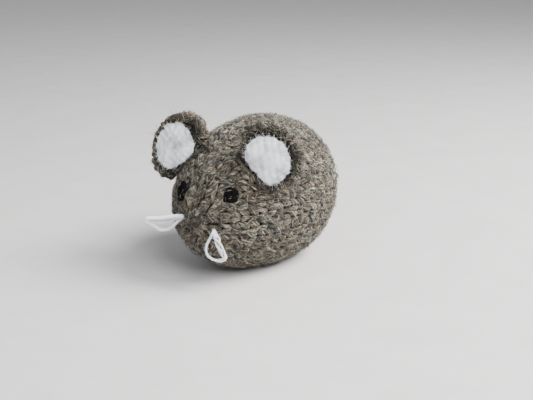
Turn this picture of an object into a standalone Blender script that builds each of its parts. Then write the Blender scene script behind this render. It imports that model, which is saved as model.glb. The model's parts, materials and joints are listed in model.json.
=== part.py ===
"""Hand-knitted stuffed mouse: knitted cover, fibre stuffing, sewn-on ears with felt linings,
embroidered eyes and two whisker loops of cotton yarn.

Frame: metres, +Z up. The mouse faces -Y and its left side is +X. It stands on its flattened
belly at z = 0, with the middle of its box over the origin. All sizes below are millimetres.
"""
import math

import bmesh
import bpy
from mathutils import Matrix, Vector

MM = 0.001

# ---- driving dimensions, in millimetres ---------------------------------------------------
GAP = 0.3                   # room kept between neighbouring pieces

# The body is a barrel of elliptical sections along Y. A station runs from 1 at the nose to
# -1 at the rump, and a section's radius is sqrt(1 - |station| ** power).
BODY_HALF_WIDTH = 28.7
BODY_HALF_HEIGHT = 29.0
BODY_MIDDLE_HEIGHT = 27.2   # less than the half height, so that the belly is cut flat
NOSE_LENGTH = 44.4
RUMP_LENGTH = 31.1
NOSE_POWER = 1.94
RUMP_POWER = 2.04
NOSE_DROP = 2.3             # how far the section's middle sinks towards the nose
RUMP_DROP = -2.7            # and rises towards the rump
FABRIC = 3.0                # thickness of the knitted cover
STUFFING_INSET = 4.0
EYELET_RADIUS = 1.6         # hole left where the stitches are drawn together

# Gathered ends: a yarn knot that closes each eyelet
KNOT_RADIUS = 1.9
KNOT_HEIGHT = 1.1
KNOT_SHANK_RADIUS = 0.9
KNOT_SHANK_LENGTH = 6.0

# Eyes: knots of black yarn
EYE_PLACES = {              # station, degrees up from the widest line of the section
    "left": (0.862, 39.8),
    "right": (0.910, 44.0),
}
EYE_RADIUS = 3.0
EYE_HEIGHT = 2.1
EYE_SHANK_RADIUS = 0.9
EYE_SHANK_LENGTH = 7.0

# Ears: thick knitted bowls, each hinged on the line where it is sewn to the head
EAR_THICKNESS = 2.6         # at the root and the rim
EAR_BULGE = 4.2             # extra thickness behind the middle
EAR_HALF_WIDTH = 12.6
EAR_HALF_HEIGHT = 12.2
EAR_MIDDLE = 5.5            # from the hinge line up to the middle of the bowl
EAR_ROOT_HALF_WIDTH = 8.0
EAR_ROOT_SLANT = 32.0       # degrees below level that the outline's lower sides face
EAR_CUP = 2.4               # how far the rim stands forward of the middle
EAR_PLACES = {              # station, angle up the section, yaw, backward lean, outward tilt
    "left": (0.612, 47.0, 12.0, 3.0, 46.0),
    "right": (0.612, 49.0, -8.0, 20.0, 39.0),
}
EAR_LIFT = 1.8              # hinge line above the head

# Felt linings, set towards the outer side of each ear
FELT_RADIUS = 8.8
FELT_THICKNESS = 1.2
FELT_SHIFT_OUT = 0.5
FELT_SHIFT_UP = 5.6         # from the hinge line to the middle of the disc
FELT_CHORD = 5.8            # from the middle of the disc down to its straight edge

# Sewing thread of the lining: a running stitch parallel to the felt's edge
THREAD_RADIUS = 0.22
THREAD_INSET = 0.84
THREAD_STITCHES = 8
THREAD_SWING = 1.15

# Sewing yarn of the ear, laid along the front of the ear's root
SEWING_RADIUS = 0.7
SEWING_HALF_LENGTH = 10.5
SEWING_FRONT = 4.8
SEWING_STITCHES = 6

# Whiskers: one loop of white cotton yarn at each cheek, on a yarn run through the snout
WHISKER_STATION = 0.965
WHISKER_ANGLES = {"left": -17.0, "right": -1.0}
WHISKER_YARN_RADIUS = 0.8
WHISKER_LIFT = 2.1          # hinge line above the cheek
WHISKER_ROOT_RADIUS = 0.95  # bend of the loop's centreline at the cheek
WHISKER_TIP_RADIUS = 2.3    # and at its free end
WHISKER_AXIS_YAW = 32.6     # the hinge line, in plan, turned from straight across
WHISKER_RUN_DEPTH = 7.0     # how far behind the nose the hidden run crosses

# loop length, swing up from hanging, lean along the hinge line, twist about its own length
WHISKER_POSES = {
    "left": (10.8, 6.0, 9.0, 0.0),
    "right": (12.8, 93.0, 0.0, 60.0),
}

# Moves the whole mouse so that the middle of its box is over the origin
FRAME_SHIFT = Vector((-0.46, 11.62, 0.0))

COLOURS = {                 # linear colour, roughness
    "wool": ((0.125, 0.086, 0.052), 0.95),
    "fibre": ((0.75, 0.73, 0.68), 0.95),
    "felt": ((0.72, 0.70, 0.66), 0.92),
    "black": ((0.008, 0.007, 0.008), 0.85),
    "cotton": ((0.78, 0.76, 0.74), 0.80),
}

SIDES = {"left": 1.0, "right": -1.0}


# ---- scene helpers ------------------------------------------------------------------------
def start_empty():
    for obj in list(bpy.data.objects):
        bpy.data.objects.remove(obj, do_unlink=True)


def new_collection(name):
    collection = bpy.data.collections.new(name)
    bpy.context.scene.collection.children.link(collection)
    return collection


def material(kind):
    """One Principled material for each kind of stuff."""
    found = bpy.data.materials.get(kind)
    if found:
        return found
    colour, roughness = COLOURS[kind]
    made = bpy.data.materials.new(kind)
    made.use_nodes = True
    shader = made.node_tree.nodes["Principled BSDF"]
    shader.inputs["Base Color"].default_value = (*colour, 1.0)
    shader.inputs["Roughness"].default_value = roughness
    shader.inputs["Metallic"].default_value = 0.0
    return made


def add_part(name, mesh, kind, place=Matrix.Identity(4)):
    """Put a mesh in the scene as a part of its own."""
    obj = bpy.data.objects.new(name, mesh)
    PARTS.objects.link(obj)
    obj.matrix_world = Matrix.Translation(FRAME_SHIFT * MM) @ place
    mesh.materials.clear()
    mesh.materials.append(material(kind))
    mesh.shade_smooth()
    mesh.set_sharp_from_angle(angle=math.radians(50))
    return obj


def add_cutter(name, mesh, place=Matrix.Identity(4)):
    obj = bpy.data.objects.new(name, mesh)
    CUTTERS.objects.link(obj)
    obj.matrix_world = Matrix.Translation(FRAME_SHIFT * MM) @ place
    obj.hide_render = True
    obj.display_type = "WIRE"
    return obj


def cut(obj, cutter):
    boolean = obj.modifiers.new("cut_" + cutter.name, "BOOLEAN")
    boolean.operation = "DIFFERENCE"
    boolean.solver = "EXACT"
    boolean.object = cutter


def finish_mesh(bm, name):
    bmesh.ops.recalc_face_normals(bm, faces=bm.faces)
    mesh = bpy.data.meshes.new(name)
    bm.to_mesh(mesh)
    bm.free()
    return mesh


def placed(point, normal):
    """Matrix that puts a local origin at point (mm) with local +Z along normal."""
    turn = normal.to_track_quat("Z", "Y").to_matrix().to_4x4()
    return Matrix.Translation(point * MM) @ turn


# ---- the body's form ----------------------------------------------------------------------
def body_point(station, angle, inset=0.0):
    """Point of the body's surface in mm; angle in radians up from the +X side."""
    front = station >= 0.0
    power = NOSE_POWER if front else RUMP_POWER
    length = (NOSE_LENGTH if front else RUMP_LENGTH) - inset
    drop = NOSE_DROP if front else RUMP_DROP
    radius = math.sqrt(max(0.0, 1.0 - abs(station) ** power))
    middle = BODY_MIDDLE_HEIGHT - drop * station ** 2
    return Vector((
        (BODY_HALF_WIDTH - inset) * radius * math.cos(angle),
        -length * station,
        middle + (BODY_HALF_HEIGHT - inset) * radius * math.sin(angle),
    ))


def body_level(point):
    """Negative inside the body and positive outside."""
    station = -point.y / (NOSE_LENGTH if point.y < 0.0 else RUMP_LENGTH)
    front = station >= 0.0
    power = NOSE_POWER if front else RUMP_POWER
    middle = BODY_MIDDLE_HEIGHT - (NOSE_DROP if front else RUMP_DROP) * station ** 2
    across = point.x / BODY_HALF_WIDTH
    upward = (point.z - middle) / BODY_HALF_HEIGHT
    return across ** 2 + upward ** 2 + abs(station) ** power - 1.0


def body_slope(point):
    step = 0.01
    axes = (Vector((step, 0, 0)), Vector((0, step, 0)), Vector((0, 0, step)))
    return Vector([(body_level(point + d) - body_level(point - d)) / (2 * step) for d in axes])


def body_normal(point):
    return body_slope(point).normalized()


def above_body(point, lift):
    """The point moved along the body's normal until it is lift mm above the surface."""
    moved = Vector(point)
    for _ in range(12):
        slope = body_slope(moved)
        moved -= slope * (body_level(moved) / slope.length_squared)
    return moved + body_normal(moved) * lift


def body_surface(name, around, rings, inset, floor):
    """Closed skin of the body at an inset, with an eyelet at each end and a flat belly."""
    bm = bmesh.new()
    bmesh.ops.create_uvsphere(bm, u_segments=around, v_segments=rings, radius=1.0)
    first = math.pi / rings
    eyelet = math.asin(EYELET_RADIUS / BODY_HALF_WIDTH)
    for vert in bm.verts:
        polar = math.acos(max(-1.0, min(1.0, vert.co.z)))
        if first * 0.5 < polar < math.pi - first * 0.5:
            polar = eyelet + (math.pi - 2 * eyelet) * (polar - first) / (math.pi - 2 * first)
        vert.co = body_point(math.cos(polar), math.atan2(vert.co.y, vert.co.x), inset)
    cut_edges = bmesh.ops.bisect_plane(
        bm, geom=bm.verts[:] + bm.edges[:] + bm.faces[:], dist=1e-5,
        plane_co=(0, 0, floor), plane_no=(0, 0, -1), clear_outer=True)["geom_cut"]
    bmesh.ops.edgenet_fill(bm, edges=[e for e in cut_edges if isinstance(e, bmesh.types.BMEdge)])
    bmesh.ops.scale(bm, vec=(MM, MM, MM), verts=bm.verts)
    return bm


def body_cover():
    bm = body_surface("body_cover", around=36, rings=24, inset=0.0, floor=0.0)
    poles = [v for v in bm.verts if len(v.link_edges) > 10]
    bmesh.ops.delete(bm, geom=poles, context="VERTS")
    obj = add_part("body_cover", finish_mesh(bm, "body_cover"), "wool")
    solid = obj.modifiers.new("fabric", "SOLIDIFY")
    solid.thickness = FABRIC * MM
    solid.offset = -1.0
    solid.use_even_offset = True
    return obj


def stuffing():
    bm = body_surface("stuffing", around=24, rings=16, inset=STUFFING_INSET,
                      floor=STUFFING_INSET)
    return add_part("stuffing", finish_mesh(bm, "stuffing"), "fibre")


# ---- turned pieces: knots and eyes --------------------------------------------------------
def turned(name, profile, steps):
    """Mesh with a Screw modifier's profile: points (radius, height) in mm, top to bottom."""
    mesh = bpy.data.meshes.new(name)
    verts = [(radius * MM, 0.0, height * MM) for radius, height in profile]
    edges = [(i, i + 1) for i in range(len(verts) - 1)]
    mesh.from_pydata(verts, edges, [])
    return mesh, steps


def add_screw(obj, steps):
    screw = obj.modifiers.new("turn", "SCREW")
    screw.steps = steps
    screw.render_steps = steps
    screw.use_merge_vertices = True
    screw.merge_threshold = 0.00001
    screw.use_smooth_shade = True


def knot_profile(radius, height, shank_radius, shank_length, clear):
    """A domed yarn knot whose flat underside floats clear of the cover, and its shank."""
    dome = [(radius * math.sin(a), clear + height * math.cos(a))
            for a in [math.radians(step) for step in (0, 25, 48, 70, 90)]]
    under = [(radius * 0.8, clear), (shank_radius, clear)]
    foot = [(shank_radius, 0.6 - shank_length), (shank_radius * 0.6, -shank_length),
            (0.0, -shank_length)]
    return dome + under + foot


def knot(name, place, kind, radius, height, shank_radius, shank_length, clear=GAP):
    profile = knot_profile(radius, height, shank_radius, shank_length, clear)
    mesh, steps = turned(name, profile, 14)
    obj = add_part(name, mesh, kind, place)
    add_screw(obj, steps)
    return obj


def bore(name, place, radius, length):
    """Cylindrical cutter from 3 mm above the cover to length below it."""
    bm = bmesh.new()
    bmesh.ops.create_cone(bm, cap_ends=True, segments=14, radius1=radius * MM,
                          radius2=radius * MM, depth=(length + 3.0) * MM,
                          matrix=Matrix.Translation((0, 0, (3.0 - length) / 2 * MM)))
    return add_cutter(name, finish_mesh(bm, name), place)


# ---- ears ---------------------------------------------------------------------------------
def ear_place(side):
    """World matrix of an ear: origin on its hinge line, X outwards along that line,
    Y up the ear and Z out of its face. The right ear mirrors the left one's build."""
    station, angle, yaw, lean, tilt = EAR_PLACES[side]
    mirror = SIDES[side]
    turn = (Matrix.Rotation(math.radians(yaw), 3, "Z")
            @ Matrix.Rotation(math.radians(tilt), 3, "Y"))
    out = turn @ Vector((1, 0, 0))
    up = Matrix.Rotation(math.radians(-lean), 3, out) @ (turn @ Vector((0, 0, 1)))
    face = up.cross(out) * -1.0
    foot = above_body(body_point(station, math.radians(angle)), EAR_LIFT)
    flip = Vector((mirror, 1, 1))
    columns = [Vector([a * b for a, b in zip(axis, flip)]) for axis in (out, up, face)]
    foot = Vector((foot.x * mirror, foot.y, foot.z))
    place = Matrix((
        (columns[0].x, columns[1].x, columns[2].x, foot.x * MM),
        (columns[0].y, columns[1].y, columns[2].y, foot.y * MM),
        (columns[0].z, columns[1].z, columns[2].z, foot.z * MM),
        (0, 0, 0, 1),
    ))
    return place


def smooth_least(*radii):
    """Soft minimum, which rounds the corners where two outlines cross."""
    power = 9.0
    return sum(radius ** -power for radius in radii) ** (-1.0 / power)


def past_line(angle, normal_angle, distance):
    """Radius at which a ray meets a straight edge, or far away if it never does."""
    facing = math.cos(angle - math.radians(normal_angle))
    return distance / facing if facing > 0.02 else 999.0


def ear_outline(angle):
    """Radius of the flap from its middle: an ellipse cut off at the root."""
    across = math.cos(angle) / EAR_HALF_WIDTH
    upward = math.sin(angle) / EAR_HALF_HEIGHT
    ellipse = 1.0 / math.hypot(across, upward)
    root = EAR_MIDDLE + EAR_THICKNESS / 2
    slant = math.radians(EAR_ROOT_SLANT)
    side = EAR_ROOT_HALF_WIDTH * math.cos(slant) + root * math.sin(slant)
    return smooth_least(
        ellipse, past_line(angle, -90, root), past_line(angle, -EAR_ROOT_SLANT, side),
        past_line(angle, EAR_ROOT_SLANT - 180, side))


def felt_outline(angle):
    return smooth_least(FELT_RADIUS, past_line(angle, -90, FELT_CHORD))


def root_fade(y):
    """0 along the root and 1 from 4.5 mm above it."""
    fade = max(0.0, min(1.0, (y + 0.5) / 5.0))
    return fade * fade * (3 - 2 * fade)


def ear_cup(x, y):
    """How far forward the bowl's mid-surface lies, which is nothing along its root."""
    reach = math.hypot(x / EAR_HALF_WIDTH, (y - EAR_MIDDLE) / EAR_HALF_HEIGHT)
    return EAR_CUP * reach ** 2 * root_fade(y)


def ear_bulge(y):
    return EAR_BULGE * root_fade(y)


def felt_level(x, y):
    return ear_cup(x, y) + EAR_THICKNESS / 2 + GAP + 0.05 + FELT_THICKNESS / 2


def puck(around, rings, middle, outline, thickness, squareness, level, bulge=None):
    """A soft-edged flap made from a sphere: its outline, its thickness and its cupping.
    bulge(y) is added to the thickness behind the middle."""
    bm = bmesh.new()
    bmesh.ops.create_uvsphere(bm, u_segments=around, v_segments=rings, radius=1.0)
    for vert in bm.verts:
        angle = math.atan2(vert.co.y, vert.co.x)
        reach = math.hypot(vert.co.x, vert.co.y)
        height = max(-1.0, min(1.0, vert.co.z))
        x = middle[0] + outline(angle) * reach * math.cos(angle)
        y = middle[1] + outline(angle) * reach * math.sin(angle)
        z = math.copysign(abs(height) ** squareness, height) * thickness / 2
        if bulge and height < 0:
            z -= bulge(y) * height * height
        vert.co = (x, y, z + level(x, y))
    bmesh.ops.scale(bm, vec=(MM, MM, MM), verts=bm.verts)
    return bm


def knitted_ear(side, place):
    bm = puck(28, 12, (0.0, EAR_MIDDLE), ear_outline, EAR_THICKNESS, 0.6, ear_cup, ear_bulge)
    return add_ear_part(side + "_ear", bm, "wool", side, place)


def felt_lining(side, place):
    bm = puck(28, 8, (FELT_SHIFT_OUT, FELT_SHIFT_UP), felt_outline, FELT_THICKNESS, 0.35,
              felt_level)
    return add_ear_part(side + "_ear_felt", bm, "felt", side, place)


def add_ear_part(name, bm, kind, side, place):
    """Mirror the mesh itself for the right ear, so that its object's matrix is a rotation."""
    place = place.copy()
    if SIDES[side] < 0:
        bmesh.ops.scale(bm, vec=(-1, 1, 1), verts=bm.verts)
        place.col[0] = -place.col[0]
    return add_part(name, finish_mesh(bm, name), kind, place)


# ---- yarn along a path --------------------------------------------------------------------
def tube(name, points, radius, cyclic, resolution=1):
    """Mesh of a round yarn along points given in mm."""
    curve = bpy.data.curves.new(name, "CURVE")
    curve.dimensions = "3D"
    curve.bevel_depth = radius * MM
    curve.bevel_resolution = resolution
    curve.use_fill_caps = True
    spline = curve.splines.new("POLY")
    spline.points.add(len(points) - 1)
    for slot, point in zip(spline.points, points):
        slot.co = (*(Vector(point) * MM), 1.0)
    spline.use_cyclic_u = cyclic
    holder = bpy.data.objects.new(name + "_curve", curve)
    bpy.context.scene.collection.objects.link(holder)
    bpy.context.view_layer.update()
    graph = bpy.context.evaluated_depsgraph_get()
    mesh = bpy.data.meshes.new_from_object(holder.evaluated_get(graph))
    bpy.data.objects.remove(holder, do_unlink=True)
    bm = bmesh.new()
    bm.from_mesh(mesh)
    bpy.data.meshes.remove(mesh)
    bmesh.ops.remove_doubles(bm, verts=bm.verts, dist=0.00001)
    return bm


def felt_thread_path():
    """Running stitch: over the felt, down through it, under it, and up again."""
    points = []
    per_stitch = 10
    count = THREAD_STITCHES * per_stitch
    for index in range(count):
        angle = 2 * math.pi * index / count
        wave = math.tanh(2.6 * math.cos(THREAD_STITCHES * angle)) / math.tanh(2.6)
        reach = felt_outline(angle) * THREAD_INSET
        x = FELT_SHIFT_OUT + reach * math.cos(angle)
        y = FELT_SHIFT_UP + reach * math.sin(angle)
        points.append((x, y, felt_level(x, y) + THREAD_SWING * wave))
    return points


def felt_thread(side, place, felt, ear):
    name = side + "_ear_felt_thread"
    bm = tube(name, felt_thread_path(), THREAD_RADIUS, cyclic=True)
    thread = add_ear_part(name, bm, "cotton", side, place)
    wide = tube(name + "_channel", felt_thread_path(), THREAD_RADIUS + GAP, cyclic=True)
    local = place.copy()
    if SIDES[side] < 0:
        bmesh.ops.scale(wide, vec=(-1, 1, 1), verts=wide.verts)
        local.col[0] = -local.col[0]
    channel = add_cutter(name + "_channel", finish_mesh(wide, name + "_channel"), local)
    cut(felt, channel)
    cut(ear, channel)
    return thread


def ear_sewing(side, place):
    """Yarn laid on the head in front of the ear's root, rising and falling at each stitch."""
    name = side + "_ear_sewing"
    points = []
    count = SEWING_STITCHES * 7
    for index in range(count + 1):
        angle = math.pi * index / count
        across = SEWING_HALF_LENGTH * math.cos(angle)
        along = SEWING_FRONT * math.sin(angle) ** 0.7
        flat = (place @ Vector((across * MM, 0.0, along * MM))) / MM
        rise = 0.18 * (1 - math.cos(2 * SEWING_STITCHES * angle))
        points.append(above_body(flat, SEWING_RADIUS + GAP + 0.05 + rise))
    bm = tube(name, points, SEWING_RADIUS, cyclic=False)
    return add_part(name, finish_mesh(bm, name), "wool")


# ---- whiskers -----------------------------------------------------------------------------
def cheek_point(side, lift):
    """Point above (or below) the whisker's hole in the cheek."""
    spot = body_point(WHISKER_STATION, math.radians(WHISKER_ANGLES[side]))
    point = above_body(spot, lift)
    return Vector((point.x * SIDES[side], point.y, point.z))


def whisker_foot(side):
    return cheek_point(side, WHISKER_LIFT)


def whisker_place(side):
    """World matrix of a loop: X along its hinge line, Z from the hinge to its free end."""
    mirror = SIDES[side]
    length, swing, lean, twist = WHISKER_POSES[side]
    yaw = math.radians(WHISKER_AXIS_YAW)
    hinge = Vector((math.cos(yaw) * mirror, math.sin(yaw), 0.0))
    outward = Vector((math.sin(yaw) * mirror, -math.cos(yaw), 0.0))
    reach = (outward * math.sin(math.radians(swing))
             - Vector((0, 0, 1)) * math.cos(math.radians(swing)))
    third = reach.cross(hinge)
    place = Matrix((hinge, third, reach)).transposed().to_4x4()
    place.translation = whisker_foot(side) * MM
    return (place @ Matrix.Rotation(math.radians(lean), 4, "Y")
            @ Matrix.Rotation(math.radians(twist), 4, "Z"))


def whisker_path(length):
    """Egg-shaped loop in the XZ plane: a tight bend at the cheek and a wide one at the tip."""
    root, tip = WHISKER_ROOT_RADIUS, WHISKER_TIP_RADIUS
    span = length - WHISKER_YARN_RADIUS - tip
    slant = math.asin((tip - root) / span)
    points = []
    for step in range(9):
        angle = math.pi + slant + (math.pi - 2 * slant) * step / 8
        points.append((root * math.cos(angle), 0.0, root * math.sin(angle)))
    for step in range(1, 6):
        blend = step / 6
        points.append(((root + (tip - root) * blend) * math.cos(slant), 0.0,
                       -root * math.sin(slant) + (span - (tip - root) * math.sin(slant))
                       * blend))
    for step in range(13):
        angle = -slant + (math.pi + 2 * slant) * step / 12
        points.append((tip * math.cos(angle), 0.0, span + tip * math.sin(angle)))
    for step in range(1, 6):
        blend = 1 - step / 6
        points.append((-(root + (tip - root) * blend) * math.cos(slant), 0.0,
                       -root * math.sin(slant) + (span - (tip - root) * math.sin(slant))
                       * blend))
    return points


def whisker(side):
    length = WHISKER_POSES[side][0]
    bm = tube(side + "_whisker", whisker_path(length), WHISKER_YARN_RADIUS, cyclic=True)
    return add_part(side + "_whisker", finish_mesh(bm, side + "_whisker"), "cotton",
                    whisker_place(side))


def whisker_run_path():
    """From one cheek's hole to the other's, through the stuffing behind the nose."""
    half_ways = []
    mouths = {side: cheek_point(side, 0.2) for side in SIDES}
    middle = (mouths["left"] + mouths["right"]) / 2 + Vector((0, WHISKER_RUN_DEPTH, 0))
    for side, mouth in mouths.items():
        inner = cheek_point(side, 1.2 - WHISKER_RUN_DEPTH)
        blends = [step / 6 for step in range(7)]
        half_ways.append([mouth * (1 - b) ** 2 + inner * 2 * b * (1 - b) + middle * b ** 2
                          for b in blends])
    left, right = half_ways
    return left + right[-2::-1]


# ---- assembly -----------------------------------------------------------------------------
def build_body():
    cover = body_cover()
    core = stuffing()
    ends = {
        "nose_gather_yarn": (body_point(1.0, 0.0), Vector((0, -1, 0))),
        "rump_gather_yarn": (body_point(-1.0, 0.0), Vector((0, 1, 0))),
    }
    for name, (point, normal) in ends.items():
        place = placed(point, normal)
        knot(name, place, "wool", KNOT_RADIUS, KNOT_HEIGHT, KNOT_SHANK_RADIUS,
             KNOT_SHANK_LENGTH)
        cut(core, bore(name + "_bore", place, KNOT_SHANK_RADIUS + GAP + 0.1,
                       KNOT_SHANK_LENGTH + 1.0))
    for side, mirror in SIDES.items():
        station, angle = EYE_PLACES[side]
        spot = body_point(station, math.radians(angle))
        normal = body_normal(spot)
        flip = Vector((mirror, 1, 1))
        spot = Vector([a * b for a, b in zip(spot, flip)])
        normal = Vector([a * b for a, b in zip(normal, flip)])
        place = placed(spot, normal)
        knot(side + "_eye", place, "black", EYE_RADIUS, EYE_HEIGHT, EYE_SHANK_RADIUS,
             EYE_SHANK_LENGTH)
        hole = bore(side + "_eye_bore", place, EYE_SHANK_RADIUS + GAP + 0.1,
                    EYE_SHANK_LENGTH + 1.0)
        cut(cover, hole)
        cut(core, hole)
    return cover, core


def build_ears():
    for side in SIDES:
        place = ear_place(side)
        ear = knitted_ear(side, place)
        felt = felt_lining(side, place)
        felt_thread(side, place, felt, ear)
        ear_sewing(side, place)


def build_whiskers(cover, core):
    for side in SIDES:
        whisker(side)
    path = whisker_run_path()
    run = tube("whisker_yarn_run", path, WHISKER_YARN_RADIUS, cyclic=False)
    add_part("whisker_yarn_run", finish_mesh(run, "whisker_yarn_run"), "cotton")
    longer = [path[0] * 2 - path[1]] + path + [path[-1] * 2 - path[-2]]
    wide = tube("whisker_tunnel", longer, WHISKER_YARN_RADIUS + GAP + 0.1, cyclic=False)
    tunnel = add_cutter("whisker_tunnel", finish_mesh(wide, "whisker_tunnel"))
    cut(cover, tunnel)
    cut(core, tunnel)


start_empty()
PARTS = new_collection("knitted_mouse")
CUTTERS = new_collection("cutters")
body, filling = build_body()
build_ears()
build_whiskers(body, filling)
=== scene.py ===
"""The looks of the hand-knitted mouse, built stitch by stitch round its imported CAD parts.

Lengths are millimetres until a mesh is made, and metres in Blender. The mouse faces -Y, its
left side is +X, and it rests on z = 0.
"""

import json
import math

import bpy
import numpy as np
from mathutils import Matrix, Vector


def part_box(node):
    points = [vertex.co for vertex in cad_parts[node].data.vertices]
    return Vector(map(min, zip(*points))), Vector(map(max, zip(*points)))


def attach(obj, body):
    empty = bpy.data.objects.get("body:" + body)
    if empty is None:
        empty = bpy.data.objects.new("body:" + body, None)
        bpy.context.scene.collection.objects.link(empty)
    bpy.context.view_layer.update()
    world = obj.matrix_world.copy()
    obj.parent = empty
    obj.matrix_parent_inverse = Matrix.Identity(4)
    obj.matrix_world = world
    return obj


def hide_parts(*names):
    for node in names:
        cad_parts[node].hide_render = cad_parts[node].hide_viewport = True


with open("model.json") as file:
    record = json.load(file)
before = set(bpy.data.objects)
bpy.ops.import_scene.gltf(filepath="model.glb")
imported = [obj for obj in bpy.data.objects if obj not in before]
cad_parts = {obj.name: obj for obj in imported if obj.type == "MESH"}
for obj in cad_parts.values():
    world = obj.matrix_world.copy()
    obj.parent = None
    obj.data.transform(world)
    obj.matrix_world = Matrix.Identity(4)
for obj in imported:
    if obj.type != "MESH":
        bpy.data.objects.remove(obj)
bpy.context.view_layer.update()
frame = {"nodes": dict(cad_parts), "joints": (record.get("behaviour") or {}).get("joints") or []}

MM = 0.001
TAU = 2 * math.pi
SIDES = {"left": 1.0, "right": -1.0}
JOINTS = {joint["name"]: joint for joint in frame["joints"]}

# ---- the design's own dimensions, as in part.py ----
FRAME_SHIFT = np.array([-0.46, 11.62, 0.0])
BODY_HALF_WIDTH = 28.7
BODY_HALF_HEIGHT = 29.0
BODY_MIDDLE_HEIGHT = 27.2
NOSE_LENGTH = 44.4
RUMP_LENGTH = 31.1
NOSE_POWER = 1.94
RUMP_POWER = 2.04
NOSE_DROP = 2.3
RUMP_DROP = -2.7

EYE_RADIUS = 3.0

EAR_THICKNESS = 2.6
EAR_HALF_WIDTH = 12.6
EAR_HALF_HEIGHT = 12.2
EAR_MIDDLE = 5.5
EAR_ROOT_HALF_WIDTH = 8.0
EAR_ROOT_SLANT = 32.0
EAR_CUP = 2.4
EAR_TURNS = {"left": (12.0, 3.0, 46.0), "right": (-8.0, 20.0, 39.0)}    # yaw, lean, tilt

FELT_RADIUS = 8.8
FELT_THICKNESS = 1.2
FELT_SHIFT_OUT = 0.5
FELT_SHIFT_UP = 5.6
THREAD_STITCHES = 8
THREAD_INSET = 0.84

SEWING_HALF_LENGTH = 10.5
SEWING_FRONT = 4.8
SEWING_STITCHES = 6

WHISKER_AXIS_YAW = 32.6
WHISKER_TURNS = {"left": (6.0, 9.0, 0.0), "right": (93.0, 0.0, 60.0)}   # swing, lean, twist

# ---- the yarn and its stitches ----
WALE = 4.4                  # width of one column of stitches
COURSE = 3.5                # height of one row of stitches
YARN = 1.17                 # radius of the wool where it lies free
SINK = 0.75                 # how far the yarn's middle lies under the CAD surface
LINING_SINK = 0.75          # and how much further down the body's lining lies
LEG_POINTS = 9
LEG_SIDES = 8
LEG_START = -0.16           # where a stitch's legs start and how far they reach, in rows
LEG_REACH = 1.28
LEG_FOOT = 0.060            # half the legs' gap at their feet, and how far they open,
LEG_SPREAD = 0.395          # in widths of a stitch
LEG_DEPTH = 0.85            # how deep a leg's ends lie and how far it bulges up from
LEG_BULGE = 1.15            # there, in radii of the yarn
LEG_TAPER = 0.50            # share of the yarn's radius that's left at a leg's ends
UNEVEN_HEIGHT = 0.08        # how much the stitches differ from each other
UNEVEN_SIZE = 0.08
UNEVEN_SPREAD = 0.10
UNEVEN_PLACE = {"row": 0.05, "ring": 0.06}
UNEVEN_TONE = 0.03
LOOSE_LIMITS = (0.8, 1.3)   # yarn in a wide stitch swells, but only between these shares
PLY_TWIST = TAU / 7.0       # turn of the plies for each mm of yarn
STREAK_LENGTH = 0.32        # how fast the streaks change along the yarn, and round it
STREAK_ROUND = 3.4
STREAK_STEP = 13.7          # from one yarn's streaks to the next one's
DIVE_SHADE = 0.10            # painted shade: how much darker the yarn is where it dives under
RUMP_START = 1.6            # the first row's distance from the rump's pole
NOSE_GAPS = (9.6, 5.4, 1.4)  # and the last rows' distances from the nose's pole
LEAST_STITCHES = 8          # in a row
DROPPED_TOGETHER = 2        # columns that end in the same row
PRESSED_HEIGHT = 0.6        # yarn below this height is pressed flat on the floor
GATHER_TURNS = 2.35
GATHER_POINTS = 60
GATHER_RADIUS = 0.72
GATHER_REACH = (0.25, 1.55)  # where the spiral starts, and how far it widens
GATHER_DEPTH = (0.55, 0.9)  # how deep it starts, and how far it sinks

# ---- the loose fibres: how many, and how long ----
BODY_FUZZ, BODY_FUZZ_LENGTHS = 4800, (1.2, 4.2)
EAR_FUZZ, EAR_FUZZ_LENGTHS = 1100, (1.2, 3.8)
EYE_FUZZ, EYE_FUZZ_LENGTHS = 10, (1.5, 3.6)
WHISKER_FUZZ, WHISKER_FUZZ_LENGTHS = 130, (0.5, 1.6)
FELT_FUZZ, FELT_FUZZ_LENGTHS = 420, (0.4, 1.2)
FUZZ_HIGHLIGHT_AND_SPREAD = (0.07, 0.11)   # how much lighter the yarns' fibres are, as painted highlight, and how much they differ at random
FIBRE_TAPER = np.array([1.0, 0.85, 0.4])
FELT_FIBRE_RADIUS = 0.055
FELT_FIBRE_TAPER = np.array([1.0, 0.9, 0.7, 0.4])
FIBRE_SIDES = 3

# ---- the ears and their felts ----
EAR_SINK = 0.9              # how far the yarn's middle lies inside the CAD outline
EAR_LINING_SINK = 0.45      # and how much further in the lining lies
EAR_FLARE = {"left": 1.4, "right": 0.0}         # what the upper rim gains on the outline
EAR_LOBE = {"left": 0.6, "right": 3.8}          # and what it gains towards the head's middle
EAR_LOBE_ANGLE = 192.0
EAR_LOBE_WIDTH = 0.80
EAR_CORNERS = {             # the outer end of the root: its angle, reach and width
    "left": (-50.0, 5.2, 0.42),
    "right": (-24.0, 3.6, 0.50),
}
EAR_BACK = {"left": 4.6, "right": 6.2}          # how far the back bulges
EAR_SHIFT = {"left": (0.0, 0.0), "right": (0.85, -1.5)}     # outwards and upwards
EAR_RINGS = (               # at the rim: distance past it, arc, width, yarn's radius
    (-2.9, (-52, 232), 3.3, 0.85),
    (0.2, (-62, 240), 2.2, 1.05),
)
EAR_BACK_RING = ((-90, 270), 3.9, 1.10)         # over the back: arc, width, yarn's radius
EAR_BACK_START = 3.0        # from the rim to the first of those rings
EAR_BACK_GAP = 0.6          # left free at the back's middle
EAR_BACK_PITCH = 3.1        # from one ring to the next
EAR_BACK_FULL = 13.0        # rings nearer to the back's middle than this are smaller,
EAR_LEAST_GIRTH = 0.2       # down to this share of the outline
EAR_STITCH = 3.3            # length of one stitch in a ring
KNOB_ARC = (-66, 242)       # the cast-on edge, and the step between its stitches
KNOB_PITCH = 2.7
KNOB_START = 2.3            # how far they start inside the rim, and their length
KNOB_LENGTH = 5.6
KNOB_SLANT = 0.16
KNOB_YARN = 1.12            # their size, in radii of the yarn
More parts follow.
